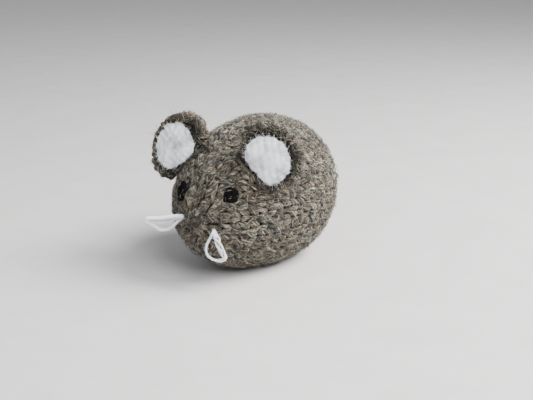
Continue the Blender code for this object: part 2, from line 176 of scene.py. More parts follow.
KNOB_TONE = -0.01           # how light the rim and the back are, and how dark the painted shade on the inner ring and the root is
BACK_TONE = -0.015
INNER_RING_SHADE = -0.10
ROOT_SHADE = -0.13
ROOT_SHADE_TOP = 2.0              # painted shade darkens the root below this height, over this depth
ROOT_SHADE_DEPTH = 4.0
SEWING_YARN = (0.85, 0.2)   # radius of the sewing yarn, and how much it varies
SEWING_LIFT = 0.5           # how far its middle lies above the head, and how far it
SEWING_HOPS = 0.25          # rises at each stitch
FELT_EDGE = 6.7             # from the middle of the disc down to its straight edge
FELT_CROWN = 1.9            # how far the felt is puffed out
FELT_LIFT = 0.95            # how far its middle layer lies above the ear's CAD face
FELT_NICKS = ((5, 0.12), (11, 0.14), (19, 0.14), (31, 0.08))    # waves round it, and their size
FELT_ROUGHNESS = 0.045
FELT_AROUND = 120
FELT_RINGS = 30
DIMPLE_DEPTH = 0.34
DIMPLE_RADIUS = 0.55

# ---- the eyes ----
EYE_SIZES = {"left": (3.45, 3.4), "right": (3.1, 4.9)}      # half width and half height
EYE_POINTS = 48
EYE_SIDES = 10
EYE_WINDINGS = (            # start, turns, and how far out each starts and ends
    (0.4, 1.35, 1.1, 2.25),
    (2.9, 0.9, 0.2, 1.2),
    (4.6, 1.2, 1.75, 0.7),
)
EYE_YARN = 0.84
EYE_STITCHES = ((0.5, -0.7), (0.9, 0.9))        # tilt, and distance from the eye's middle
EYE_STITCH_YARN = 0.62
EYE_STITCH_REACH = 2.35
EYE_DOME = (1.15, 3.1, 0.55)  # height, half width, and how deep its foot lies
EYE_STITCH_DOME = (1.35, 2.4, 0.85)
EYE_CORE_REACH = 1.9        # the yarn behind the windings: half its length, how deep it
EYE_CORE_DEPTH = 0.95       # lies and its radius
EYE_CORE_RADIUS = 2.15

# ---- the whiskers ----
# Each strand's corners in its loop's own plane (sideways, out of the plane, lengthways), then
# the plies' radii and how far they stand apart, both where the loop is tight and where slack.
WHISKER_STRANDS = {
    "left": [(((0.1, 0.3, 0.0), (-1.2, 0.1, 1.8), (-2.8, 0.0, 4.1), (-3.4, 0.0, 6.0),
               (-3.0, 0.0, 8.2), (-1.3, 0.0, 9.9), (0.9, 0.0, 10.6), (2.6, 0.0, 10.0),
               (2.7, 0.0, 8.8), (1.9, 0.0, 7.0), (1.5, 0.0, 5.0), (1.2, -0.1, 2.9),
               (0.8, -0.2, 0.6)), (0.27, 0.40), (0.20, 0.85))],
    "right": [(((-1.6, 0.2, -1.5), (-1.7, 0.0, 1.5), (-1.4, 0.0, 4.8), (-1.5, 0.0, 8.4),
                (-1.7, 0.0, 11.0), (-0.8, 0.0, 11.9), (0.7, 0.0, 10.4), (2.4, 0.0, 8.4),
                (4.4, 0.0, 6.3), (5.2, 0.0, 3.8), (4.6, 0.0, 1.7), (2.4, 0.0, 0.2),
                (0.6, -0.2, -1.4)), (0.38, 0.36), (0.42, 0.34)),
              (((-0.4, -0.6, -1.5), (0.1, -0.6, -0.4), (0.9, -0.5, 2.2), (1.3, -0.4, 5.4),
                (0.6, -0.3, 8.2), (-0.9, -0.2, 10.6)), (0.30, 0.30), (0.22, 0.22))],
}
WHISKER_RINGS = 100
WHISKER_SIDES = 8
WHISKER_SLACK = (0.48, 0.22)  # share of the loop where it starts to slacken, over what share
WHISKER_TIGHT = (0.97, 0.10)  # and the same for where it's tight again
WHISKER_TWIST = (1.3, 0.6)  # turn of the plies for each mm, and how much less where slack
WHISKER_TUCK = 0.8          # how near the ends come to the yarn's hole, as a share, and
WHISKER_DEPTH = 1.6         # how deep that lies under the cheek

# ---- the view ----
CAMERA_LENS = 60.8
CAMERA_AZIMUTH = 32.64
CAMERA_ELEVATION = 16.7
CAMERA_DISTANCE = 0.360
CAMERA_TARGET = Vector((0.0019, 0.0112, 0.0227))


# ---- materials ----
def node(tree, kind, **inputs):
    made = tree.nodes.new(kind)
    for key, value in inputs.items():
        made.inputs[key.replace("_", " ")].default_value = value
    return made


def ramp(tree, factor, stops):
    """Colour ramp from (position, linear colour) pairs."""
    made = tree.nodes.new("ShaderNodeValToRGB")
    slots = made.color_ramp.elements
    while len(slots) < len(stops):
        slots.new(0.5)
    for slot, (position, colour) in zip(slots, stops):
        slot.position = position
        slot.color = (*colour, 1.0)
    tree.links.new(factor, made.inputs["Fac"])
    return made.outputs["Color"]


def finish_material(made, colour, height, bump, distance, **values):
    """Link a material's colour and relief to its shader, and set the shader's constants."""
    tree = made.node_tree
    shader = tree.nodes["Principled BSDF"]
    tree.links.new(colour, shader.inputs["Base Color"])
    relief = node(tree, "ShaderNodeBump", Strength=bump, Distance=distance)
    tree.links.new(height, relief.inputs["Height"])
    tree.links.new(relief.outputs["Normal"], shader.inputs["Normal"])
    for key, value in values.items():
        shader.inputs[key.replace("_", " ")].default_value = value
    return made


def yarn_material(name, ramps, roughness, sheen, bump, specular=0.2):
    """Streaks of fibre along the yarn, read in the yarn's own coordinates, with a slower
    change along it from one ramp of colours to the other."""
    made = bpy.data.materials.new(name)
    made.use_nodes = True
    tree = made.node_tree
    strand = tree.nodes.new("ShaderNodeAttribute")
    strand.attribute_name = "strand"
    streaks = node(tree, "ShaderNodeTexNoise", Scale=1.0, Detail=2.5, Roughness=0.6)
    tree.links.new(strand.outputs["Vector"], streaks.inputs["Vector"])
    tone = tree.nodes.new("ShaderNodeAttribute")
    tone.attribute_name = "tone"
    add = tree.nodes.new("ShaderNodeMath")
    add.operation = "ADD"
    tree.links.new(streaks.outputs["Fac"], add.inputs[0])
    tree.links.new(tone.outputs["Fac"], add.inputs[1])
    colours = [ramp(tree, add.outputs[0], stops) for stops in ramps]
    if len(colours) == 2:
        slow = node(tree, "ShaderNodeTexNoise", Scale=0.45, Detail=2.0)
        tree.links.new(strand.outputs["Vector"], slow.inputs["Vector"])
        share = ramp(tree, slow.outputs["Fac"], [(0.44, (0, 0, 0)), (0.56, (1, 1, 1))])
        mix = tree.nodes.new("ShaderNodeMix")
        mix.data_type = "RGBA"
        tree.links.new(share, mix.inputs["Factor"])
        tree.links.new(colours[0], mix.inputs["A"])
        tree.links.new(colours[1], mix.inputs["B"])
        colours = [mix.outputs["Result"]]
    fine = node(tree, "ShaderNodeTexNoise", Scale=2.6, Detail=3.0)
    tree.links.new(strand.outputs["Vector"], fine.inputs["Vector"])
    return finish_material(made, colours[0], fine.outputs["Fac"], bump, 0.0003,
                           Roughness=roughness, Sheen_Weight=sheen, Sheen_Roughness=0.6,
                           Specular_IOR_Level=specular)


def surface_material(name, stops, scale, roughness, bump, sheen=0.0):
    """Mottled stuff, such as felt or stuffing, read in the object's own coordinates."""
    made = bpy.data.materials.new(name)
    made.use_nodes = True
    tree = made.node_tree
    where = tree.nodes.new("ShaderNodeTexCoord")
    noise = node(tree, "ShaderNodeTexNoise", Scale=scale, Detail=5.0, Roughness=0.65)
    tree.links.new(where.outputs["Object"], noise.inputs["Vector"])
    colour = ramp(tree, noise.outputs["Fac"], stops)
    return finish_material(made, colour, noise.outputs["Fac"], bump, 0.0004,
                           Roughness=roughness, Sheen_Weight=sheen, Specular_IOR_Level=0.2)


WOOL = yarn_material("tweed_wool", [[
    (0.37, (0.007, 0.004, 0.003)),
    (0.45, (0.032, 0.020, 0.012)),
    (0.53, (0.077, 0.049, 0.030)),
    (0.60, (0.178, 0.128, 0.080)),
    (0.69, (0.570, 0.480, 0.340)),
], [
    (0.37, (0.006, 0.005, 0.005)),
    (0.45, (0.023, 0.022, 0.019)),
    (0.53, (0.056, 0.057, 0.044)),
    (0.60, (0.137, 0.142, 0.112)),
    (0.69, (0.500, 0.515, 0.430)),
]], roughness=0.95, sheen=0.12, bump=0.6)
# painted shade: the lining's dark wool shows in the gaps between stitches, where shade falls
SHADE_LINING = surface_material("tweed_wool_shadow", [
    (0.3, (0.018, 0.013, 0.010)), (0.7, (0.060, 0.045, 0.033)),
], scale=900.0, roughness=1.0, bump=0.4)
BLACK = yarn_material("black_yarn", [[
    (0.3, (0.001, 0.001, 0.001)), (0.7, (0.006, 0.005, 0.006)),
]], roughness=0.9, sheen=0.0, bump=0.5, specular=0.06)
COTTON = yarn_material("white_cotton", [[
    (0.3, (0.66, 0.67, 0.70)), (0.7, (0.90, 0.91, 0.93)),
]], roughness=0.8, sheen=0.3, bump=0.5)
# painted light: the felt is tinted blue for the sky's light; it is mottled from grey-blue to
# white in large patches
FELT = surface_material("off_white_felt", [
    (0.36, (0.44, 0.46, 0.50)), (0.47, (0.72, 0.75, 0.78)), (0.58, (0.97, 1.00, 1.00)),
], scale=170.0, roughness=0.95, bump=1.0, sheen=0.3)
THREAD = surface_material("white_thread", [
    (0.3, (0.66, 0.65, 0.64)), (0.7, (0.84, 0.84, 0.84)),
], scale=1800.0, roughness=0.85, bump=0.5)
FIBRE = surface_material("white_fibre", [
    (0.3, (0.65, 0.64, 0.61)), (0.7, (0.85, 0.84, 0.82)),
], scale=700.0, roughness=0.95, bump=0.6)


# ---- meshes from arrays ----
def make_object(name, verts, faces, material, attributes=None):
    """Object from points in mm, with per-point attributes 'strand' (vector) and 'tone'."""
    mesh = bpy.data.meshes.new(name)
    mesh.from_pydata((verts * MM).tolist(), [], faces)
    for key, values in (attributes or {}).items():
        kind = "FLOAT_VECTOR" if values.ndim == 2 else "FLOAT"
        slot = mesh.attributes.new(key, kind, "POINT")
        slot.data.foreach_set("vector" if kind == "FLOAT_VECTOR" else "value",
                              values.astype(np.float32).ravel())
    mesh.materials.append(material)
    mesh.shade_smooth()
    obj = bpy.data.objects.new(name, mesh)
    bpy.context.scene.collection.objects.link(obj)
    return obj


def normalised(vectors):
    length = np.linalg.norm(vectors, axis=-1, keepdims=True)
    return vectors / np.maximum(length, 1e-9)


def tube_faces(count, rings, sides):
    """Faces of count tubes whose points are stored as [tube, ring, side]."""
    tube, ring, side = np.meshgrid(np.arange(count), np.arange(rings - 1), np.arange(sides),
                                   indexing="ij")
    beside = (side + 1) % sides
    here = (tube * rings + ring) * sides
    quads = np.stack([here + side, here + beside, here + sides + beside, here + sides + side],
                     -1)
    faces = quads.reshape(-1, 4).tolist()
    for index in range(count):
        start = index * rings * sides
        end = start + (rings - 1) * sides
        faces.append([start + k for k in reversed(range(sides))])
        faces.append([end + k for k in range(sides)])
    return faces


def sweep(paths, lifts, radii, sides, flatten=1.0, ply=0.0, phase=None):
    """Round yarns along paths [tube, ring, 3]. lifts are directions away from the surface.
    Returns the points and each one's place in its yarn's own coordinates."""
    tangents = normalised(np.gradient(paths, axis=1))
    across = normalised(np.cross(tangents, lifts))
    upward = np.cross(across, tangents)
    steps = np.linalg.norm(np.diff(paths, axis=1, prepend=paths[:, :1]), axis=-1)
    along = np.cumsum(steps, axis=1)
    angle = TAU * np.arange(sides) / sides
    start = np.zeros(len(paths)) if phase is None else phase
    turned = angle[None, None, :] + PLY_TWIST * along[..., None] + start[:, None, None]
    reach = radii[..., None] * (1 + ply * np.cos(2 * turned))
    points = (paths[:, :, None] + across[:, :, None] * (reach * np.cos(angle))[..., None]
              + upward[:, :, None] * (reach * np.sin(angle) * flatten)[..., None])
    strand = np.stack([np.broadcast_to(along[..., None] * STREAK_LENGTH, reach.shape),
                       STREAK_ROUND * np.cos(turned), STREAK_ROUND * np.sin(turned)], -1)
    strand = strand + (start * STREAK_STEP)[:, None, None, None]
    return points.reshape(-1, 3), strand.reshape(-1, 3)


# ---- the forms that carry stitches ----
def half_shape(front):
    """Length, power and drop of the nose's half of the body, or else the rump's."""
    pairs = ((NOSE_LENGTH, RUMP_LENGTH), (NOSE_POWER, RUMP_POWER), (NOSE_DROP, RUMP_DROP))
    return [np.where(front, nose, rump) for nose, rump in pairs]


class Body:
    """The body's surface by distance from the rump's pole and angle round the body."""
    outward = 1.0

    def __init__(self, inset):
        self.inset = inset
        station = -np.cos(np.linspace(0.0, math.pi, 600))
        radius = self.section(station) * (BODY_HALF_WIDTH + BODY_HALF_HEIGHT) / 2
        steps = np.hypot(np.diff(radius), np.diff(half_shape(station > 0)[0] * station))
        self.stations = station
        self.distances = np.concatenate([[0.0], np.cumsum(steps)])
        self.radii = radius
        self.length = self.distances[-1]

    @staticmethod
    def section(station):
        power = half_shape(station >= 0)[1]
        return np.sqrt(np.clip(1 - np.abs(station) ** power, 0, None))

    def station(self, distance):
        return np.interp(distance, self.distances, self.stations)

    def girth(self, distance):
        return TAU * np.interp(distance, self.distances, self.radii)

    def points(self, distance, angle):
        station = self.station(distance)
        length, _, drop = half_shape(station >= 0)
        radius = self.section(station)
        middle = BODY_MIDDLE_HEIGHT - drop * station ** 2
        return np.stack([
            (BODY_HALF_WIDTH - self.inset) * radius * np.cos(angle),
            -(length - self.inset) * station,
            middle + (BODY_HALF_HEIGHT - self.inset) * radius * np.sin(angle),
        ], -1) + FRAME_SHIFT

    @staticmethod
    def normals(points):
        x, y, z = np.moveaxis(points - FRAME_SHIFT, -1, 0)
        length, power, drop = half_shape(y < 0)
        station = -y / length
        rise = (z - (BODY_MIDDLE_HEIGHT - drop * station ** 2)) / BODY_HALF_HEIGHT ** 2
        slope = 4 * rise * drop * station
        slope = slope + power * np.abs(station) ** (power - 1) * np.sign(station)
        return normalised(np.stack([2 * x / BODY_HALF_WIDTH ** 2, -slope / length, 2 * rise],
                                   -1))


def settle(points, lifts):
    """Points moved onto the body's surface and lifted off it, and the normals there."""
    points = np.array(points, float)
    probe = 0.01
    for _ in range(12):
        normals = Body.normals(points)
        level = body_level(points)
        slope = (body_level(points + normals * probe) - level) / probe
        points = points - normals * (level / slope)[:, None]
    normals = Body.normals(points)
    return points + normals * np.asarray(lifts)[:, None], normals


def body_level(points):
    """Below 0 inside the body, 0 on its surface."""
    x, y, z = np.moveaxis(points - FRAME_SHIFT, -1, 0)
    length, power, drop = half_shape(y < 0)
    station = -y / length
    middle = BODY_MIDDLE_HEIGHT - drop * station ** 2
    return ((x / BODY_HALF_WIDTH) ** 2 + ((z - middle) / BODY_HALF_HEIGHT) ** 2
            + np.abs(station) ** power - 1)


def smooth_least(*radii):
    """The least of some radii, with the corners between them rounded off."""
    power = 9.0
    return sum(radius ** -power for radius in radii) ** (-1.0 / power)


def past_line(angle, normal_angle, distance):
    """How far it is, in the direction of an angle, to a straight side of an outline."""
    facing = np.cos(angle - math.radians(normal_angle))
    least, far_off = 0.02, 999.0
    return np.where(facing > least, distance / np.maximum(facing, least), far_off)


def ear_outline(angle):
    ellipse = 1.0 / np.hypot(np.cos(angle) / EAR_HALF_WIDTH, np.sin(angle) / EAR_HALF_HEIGHT)
    root = EAR_MIDDLE + EAR_THICKNESS / 2
    slant = math.radians(EAR_ROOT_SLANT)
    side = EAR_ROOT_HALF_WIDTH * math.cos(slant) + root * math.sin(slant)
    return smooth_least(ellipse, past_line(angle, -90, root),
                        past_line(angle, -EAR_ROOT_SLANT, side),
                        past_line(angle, EAR_ROOT_SLANT - 180, side))


def felt_outline(angle):
    return smooth_least(FELT_RADIUS, past_line(angle, -90, FELT_EDGE))


def root_fade(y):
    """0 at the ear's root, rising to 1 above it."""
    fade = np.clip((y + 0.5) / 5.0, 0.0, 1.0)
    return fade * fade * (3 - 2 * fade)


def ear_cup(x, y):
    """How far the ear stands forward of its own plane."""
    reach = np.hypot(x / EAR_HALF_WIDTH, (y - EAR_MIDDLE) / EAR_HALF_HEIGHT)
    return EAR_CUP * reach ** 2 * root_fade(y)


def ear_frame(side):
    """The ear's origin on its hinge, and its outward, upward and facing directions."""
    yaw, lean, tilt = (math.radians(turn) for turn in EAR_TURNS[side])
    turn = Matrix.Rotation(yaw, 3, "Z") @ Matrix.Rotation(tilt, 3, "Y")
    out = turn @ Vector((1, 0, 0))
    up = Matrix.Rotation(-lean, 3, out) @ (turn @ Vector((0, 0, 1)))
    face = out.cross(up)
    mirror = np.array([SIDES[side], 1.0, 1.0])
    origin = np.array(JOINTS[side + "_ear_fold"]["pos_m"]) / MM
    return origin, np.array([out, up, face]) * mirror


class Ear:
    """The ear's surface by distance from the middle of its face, round the rim and over the
    back, and by angle round the ear."""

    def __init__(self, side, inset):
        self.origin, self.axes = ear_frame(side)
        self.origin = self.origin + EAR_SHIFT[side] @ self.axes[:2]
        self.side = side
        self.inset = inset
        polar = np.linspace(0.0, math.pi, 400)
        x, y, z = self.local(polar, np.full(400, 0.5 * math.pi))
        steps = np.hypot(np.diff(y), np.diff(z))
        self.polars = polar
        self.distances = np.concatenate([[0.0], np.cumsum(steps)])
        self.radii = np.maximum(y - EAR_MIDDLE, 0.01)
        self.length = self.distances[-1]
        self.rim = float(np.interp(math.pi / 2, self.polars, self.distances))
        self.outward = 1.0
        far = self.points(np.array([self.rim]), np.array([1.2]))
        normal = surface_normals(self, np.array([self.rim]), np.array([1.2]))
        centre = self.origin + EAR_MIDDLE * self.axes[1]
        self.outward = float(np.sign(np.sum(normal * (far - centre))))

    def local(self, polar, angle):
        reach, height = np.sin(polar), np.cos(polar)
        high = np.clip(0.5 + 0.9 * np.sin(angle), 0.0, 1.0)
        lobe = np.mod(angle, TAU) - math.radians(EAR_LOBE_ANGLE)
        outline = ear_outline(angle) - self.inset
        corner_angle, corner_reach, corner_width = EAR_CORNERS[self.side]
        corner = np.mod(angle - math.radians(corner_angle) + math.pi, TAU) - math.pi
        outline = outline + EAR_FLARE[self.side] * high
        outline = outline + EAR_LOBE[self.side] * np.exp(-(lobe / EAR_LOBE_WIDTH) ** 2)
        outline = outline + corner_reach * np.exp(-(corner / corner_width) ** 2)
        x = outline * reach * np.cos(angle)
        y = EAR_MIDDLE + outline * reach * np.sin(angle)
        half = EAR_THICKNESS / 2 - EAR_SINK
        z = np.sign(height) * np.abs(height) ** 0.6 * half
        back = (EAR_BACK[self.side] - self.inset) * root_fade(y) * np.abs(height) ** 0.9
        z = z - np.where(height < 0, back, 0)
        return x, y, z + ear_cup(x, y)

    def girth(self, distance):
        return TAU * np.interp(distance, self.distances, self.radii)

    def points(self, distance, angle):
        polar = np.interp(distance, self.distances, self.polars)
        local = np.stack(self.local(polar, angle), -1)
        return self.origin + local @ self.axes


# ---- laying yarn on a form ----
def surface_normals(form, distance, angle):
    """Outward normals by small steps over the form."""
    along = form.points(distance + 0.05, angle) - form.points(distance - 0.05, angle)
    around = form.points(distance, angle + 0.01) - form.points(distance, angle - 0.01)
    return normalised(np.cross(around, along)) * form.outward


def lay_legs(form, distances, angles, sizes, rng):
    """Centrelines, normals and radii of stitch legs given by places on the form. A leg dives
    under at its foot, bulges in the middle and ends under the next stitch."""
    share = np.linspace(0.0, 1.0, LEG_POINTS)
    bow = np.sin(math.pi * share ** 0.80)
    full = np.sin(math.pi * share[None] ** 0.85) ** 0.7
    radii = sizes * (LEG_TAPER + (1 - LEG_TAPER) * full)
    rise = LEG_BULGE * bow[None] ** 0.65 - LEG_DEPTH
    rise = rise + rng.normal(0, UNEVEN_HEIGHT, (len(distances), 1))
    distances = np.clip(distances, 0.02, form.length - 0.02)
    normals = surface_normals(form, distances, angles)
    paths = form.points(distances, angles) + normals * (sizes * rise)[..., None]
    return paths, normals, radii


def stitch_rows(form, rows, counts, rng):
    """Every stitch's two legs, the columns running with distance. Where a row has fewer
    stitches than the one before, two of them lean into one."""
    share = np.linspace(0.0, 1.0, LEG_POINTS)
    climb = LEG_START + LEG_REACH * share
    parts = []
    for row in range(len(rows) - 1):
        count, above = counts[row], counts[row + 1]
        index = np.arange(count)
        foot = TAU * (index + 0.5) / count
        head = TAU * (np.floor((index + 0.5) * above / count) + 0.5) / above
        height = rows[row + 1] - rows[row]
        for leg in (-1.0, 1.0):
            shift = rng.normal(0.0, UNEVEN_PLACE["row"], (count, 2))
            distance = rows[row] + (climb[None] + shift[:, :1]) * height
            width = form.girth(distance) / count
            spread = LEG_FOOT + LEG_SPREAD * share[None] ** 0.9
            spread = spread * (1 + rng.normal(0, UNEVEN_SPREAD, (count, 1)))
            angle = foot[:, None] + (head - foot)[:, None] * np.clip(climb, 0.0, 1.0)[None]
            angle = angle + TAU * (leg * spread + shift[:, 1:] * 0.6) / count
            loose = YARN * np.clip(width / WALE, *LOOSE_LIMITS)
            crowded = 0.34 * width + 0.2
            size = np.minimum(loose * (1 + rng.normal(0, UNEVEN_SIZE, (count, 1))), crowded)
            parts.append(lay_legs(form, distance, angle, size, rng))
    return [np.concatenate(part) for part in zip(*parts)]


def stitch_ring(form, distance, corners, width, rng, yarn):
    """A chain of stitches round the form at one distance, between the given angles."""
    share = np.linspace(0.0, 1.0, LEG_POINTS)
    climb = LEG_START + LEG_REACH * share
    foot, step = corners[:-1, None], np.diff(corners)[:, None]
    parts = []
    for leg in (-1.0, 1.0):
        shift = rng.normal(0.0, UNEVEN_PLACE["ring"], (len(step), 2))
        spread = (LEG_FOOT + LEG_SPREAD * share[None] ** 0.8) * width
        place = distance + leg * spread + shift[:, 1:] * width * 0.6
        size = yarn * (1 + rng.normal(0, UNEVEN_SIZE, (len(step), 1)))
        parts.append(lay_legs(form, place, foot + (climb[None] + shift[:, :1]) * step,
                              size, rng))
    return [np.concatenate(part) for part in zip(*parts)]


def wool_object(name, legs, rng, tone=0.0, floor=False):
    """One object of yarn tubes from centrelines, normals and radii."""
    paths, lifts, radii = legs
    phase = rng.uniform(0, TAU, len(paths))
    points, strand = sweep(paths, lifts, radii, LEG_SIDES, flatten=0.92, ply=0.07, phase=phase)
    if floor:
        points = above_floor(points)
    rings = paths.shape[1]
    # painted shade, darkening each leg towards its ends where it dives under the next stitch
    dive_shade = DIVE_SHADE * (1 - np.sin(math.pi * np.linspace(0.04, 0.96, rings)) ** 0.6)
    tones = np.broadcast_to(tone, len(paths)) + rng.normal(0, UNEVEN_TONE, len(paths))
    tones = tones[:, None, None] - dive_shade[None, :, None]
    tones = np.broadcast_to(tones, (len(paths), rings, LEG_SIDES)).ravel()
    faces = tube_faces(len(paths), rings, LEG_SIDES)
    obj = make_object(name, points, faces, WOOL, {"strand": strand, "tone": tones})
    return obj


def fibres(roots, headings, bends, lengths, lifts, radius, taper):
    """Thin curved fibres, as sweep returns them."""
    share = np.linspace(0.0, 1.0, len(taper))[None, :, None]
    paths = roots[:, None] + lengths * (headings[:, None] * share + bends[:, None] * share ** 2)
    lifts = np.broadcast_to((lifts + 0.01)[:, None], paths.shape)
    return sweep(paths, lifts, np.full(paths.shape[:2], radius) * taper, FIBRE_SIDES)


def add_fuzz(name, legs, count, lengths, rng, material, radius=0.075, floor=False):
    """Loose fibres that leave the yarn at a slant and bend back towards it."""
    paths, lifts, radii = legs
    leg = rng.integers(0, len(paths), count)
    ring = rng.integers(2, paths.shape[1] - 2, count)
    root, lift, size = paths[leg, ring], lifts[leg, ring], radii[leg, ring]
    along = normalised(paths[leg, ring + 1] - paths[leg, ring - 1])
    side = np.cross(lift, along)
    turn = rng.uniform(-0.7, 0.7, count)
    start = lift * np.cos(turn)[:, None] + side * np.sin(turn)[:, None]
    root = root + start * (size * 0.85)[:, None]
    heading = along * rng.choice([-1.0, 1.0], count)[:, None]
    heading = heading + side * rng.normal(0, 0.7, (count, 1))
    slope = rng.uniform(0.15, 0.95, (count, 1))
    heading = normalised(normalised(heading) + start * slope)
    bend = side * rng.normal(0, 0.5, (count, 1)) - lift * slope * 0.55
    length = rng.uniform(*lengths, (count, 1, 1)) * rng.uniform(0.5, 1.0, (count, 1, 1))
    points, strand = fibres(root, heading, bend, length, lift, radius, FIBRE_TAPER)
    if floor:
        points[:, 2] = np.maximum(points[:, 2], 0.02)
    each = len(points) // count
    # the fibres are lifted lighter as painted highlight, with a random spread
    tones = np.repeat(rng.normal(*FUZZ_HIGHLIGHT_AND_SPREAD, count), each)
    strand = strand + np.repeat(rng.uniform(0, 40, (count, 1)), each, 0)
    faces = tube_faces(count, len(FIBRE_TAPER), FIBRE_SIDES)
    obj = make_object(name, points, faces, material, {"strand": strand, "tone": tones})
    return obj


def above_floor(points):
    """Press whatever would reach below the floor flat on it."""
    points = points.copy()
    low = points[:, 2] < PRESSED_HEIGHT
    depth = (points[low, 2] - PRESSED_HEIGHT) / PRESSED_HEIGHT
    points[low, 2] = PRESSED_HEIGHT * np.exp(np.clip(depth, -6, 0))
    return points


# ---- body ----
def round_counts(form, rows):
    """Stitches in each row, changed a few at a time as the girth does."""
    wanted = np.array([form.girth(row) / WALE for row in rows])
    counts = DROPPED_TOGETHER * np.round(wanted / DROPPED_TOGETHER)
    return np.maximum(LEAST_STITCHES, counts).astype(int)


def body_knitting(rng):
    form = Body(SINK)
    ends = [form.length - gap for gap in NOSE_GAPS]
    count = int(round((ends[0] - RUMP_START) / COURSE))
    rows = np.concatenate([np.linspace(RUMP_START, ends[0], count + 1), ends[1:]])
    counts = round_counts(form, rows)
    middle = len(rows) // 2
    halves = {
        "rump_knitting": (rows[:middle + 1], counts[:middle + 1]),
        "nose_knitting": (rows[middle:], counts[middle:]),
    }
    for name, (part, numbers) in halves.items():
        legs = stitch_rows(form, part, numbers, rng)
        obj = wool_object(name, legs, rng, floor=True)
        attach(obj, "body")
        fuzz = add_fuzz(name + "_fuzz", legs, BODY_FUZZ, BODY_FUZZ_LENGTHS, rng, WOOL,
                        floor=True)
        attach(fuzz, "body")
    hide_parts("body_cover")


def lining(name, form, distances, sides):
    """The backs of the stitches, which close the gaps between them, dark with painted shade."""
    distance, angle = np.meshgrid(distances, TAU * np.arange(sides) / sides, indexing="ij")
    points = above_floor(form.points(distance, angle).reshape(-1, 3))
    return make_object(name, points, tube_faces(1, len(distances), sides), SHADE_LINING)


def body_lining():
    form = Body(SINK + LINING_SINK)
    obj = lining("body_lining", form, np.linspace(0.3, form.length - 0.3, 60), 72)
    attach(obj, "body")


def gather(name, node_name, rng):
    """Where the yarn draws an end of the body together: a spiral of yarn that sinks in."""
    low, high = (np.array(corner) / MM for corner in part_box(node_name))
    middle = (low + high) / 2
    front = middle[1] < FRAME_SHIFT[1]
    face = np.array([0.0, -1.0 if front else 1.0, 0.0])
    outer = low[1] if front else high[1]
    turn = np.linspace(0.0, GATHER_TURNS * TAU, GATHER_POINTS)
    share = turn / turn[-1]
    start, widening = GATHER_REACH
    reach = start + widening * share ** 0.8
    depth, sinking = GATHER_DEPTH
    path = np.stack([middle[0] + reach * np.cos(turn),
                     outer - face[1] * (depth + sinking * share ** 2),
                     middle[2] + reach * np.sin(turn)], -1)[None]
    legs = (path, np.broadcast_to(face, path.shape),
            np.full((1, GATHER_POINTS), GATHER_RADIUS))
    obj = wool_object(name, legs, rng, tone=-0.08)
    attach(obj, "body")
    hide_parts(node_name)


# ---- ears ----
def even_angles(start, end, pitch):
    """Angles that divide the ear's outline into equal lengths, from start to end in degrees."""
    angle = np.radians(np.linspace(start, end, 721))
    reach = ear_outline(angle)
    x, y = reach * np.cos(angle), reach * np.sin(angle)
    run = np.concatenate([[0.0], np.cumsum(np.hypot(np.diff(x), np.diff(y)))])
    count = max(2, int(round(run[-1] / pitch)))
    return np.interp(np.linspace(0, run[-1], count + 1), run, angle)


def ear_knobs(form, rng):
    """The cast-on edge: yarn that wraps over the rim from face to back at every stitch."""
    corners = even_angles(*KNOB_ARC, KNOB_PITCH)
    share = np.linspace(0.0, 1.0, LEG_POINTS)
    slant = rng.normal(KNOB_SLANT, 0.05, (len(corners), 1))
    angles = corners[:, None] + slant * (share[None] - 0.5)
    length = KNOB_LENGTH + rng.normal(0, 0.25, (len(corners), 1))
    distances = form.rim - KNOB_START + length * share[None]
    sizes = YARN * (KNOB_YARN + rng.normal(0, 0.11, (len(corners), 1)))
    return lay_legs(form, distances, angles, sizes, rng)


def ear_knitting(side, rng):
    form = Ear(side, EAR_SINK)
    rings = [(form.rim + past, arc, width, yarn) for past, arc, width, yarn in EAR_RINGS]
    for distance in np.arange(form.rim + EAR_BACK_START, form.length - EAR_BACK_GAP,
                              EAR_BACK_PITCH):
        rings.append((distance, *EAR_BACK_RING))
    parts = [ear_knobs(form, rng)]
    tones = [np.full(len(parts[0][0]), KNOB_TONE)]
    for distance, arc, width, yarn in rings:
        girth = 0.9                 # of the ring, as a share of the outline's
        if distance > form.rim + 1:
            girth = min(1.0, (form.length - distance) / EAR_BACK_FULL)
            girth = max(EAR_LEAST_GIRTH, girth)
        corners = even_angles(*arc, EAR_STITCH / girth)
        parts.append(stitch_ring(form, distance, corners, width, rng, yarn))
        # the ring inside the rim is darkened with painted shade, for the crease at the felt's
        # edge
        tone = INNER_RING_SHADE if distance < form.rim else BACK_TONE
        tones.append(np.full(len(parts[-1][0]), tone))
    legs = [np.concatenate(part) for part in zip(*parts)]
    # painted shade, deepening towards the ear's root where it meets the head
    height = (legs[0][:, LEG_POINTS // 2] - form.origin) @ form.axes[1]
    root = np.clip((ROOT_SHADE_TOP - height) / ROOT_SHADE_DEPTH, 0, 1)
    tones = np.concatenate(tones) + ROOT_SHADE * root
    obj = wool_object(side + "_ear_knitting", legs, rng, tone=tones)
    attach(obj, side + "_ear")
    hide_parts(side + "_ear")
    inner = lining(side + "_ear_lining", Ear(side, EAR_SINK + EAR_LINING_SINK),
                   np.linspace(0.02, form.length - 0.02, 40), 56)
    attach(inner, side + "_ear")
    fuzz = add_fuzz(side + "_ear_fuzz", legs, EAR_FUZZ, EAR_FUZZ_LENGTHS, rng, WOOL)
    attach(fuzz, side + "_ear")


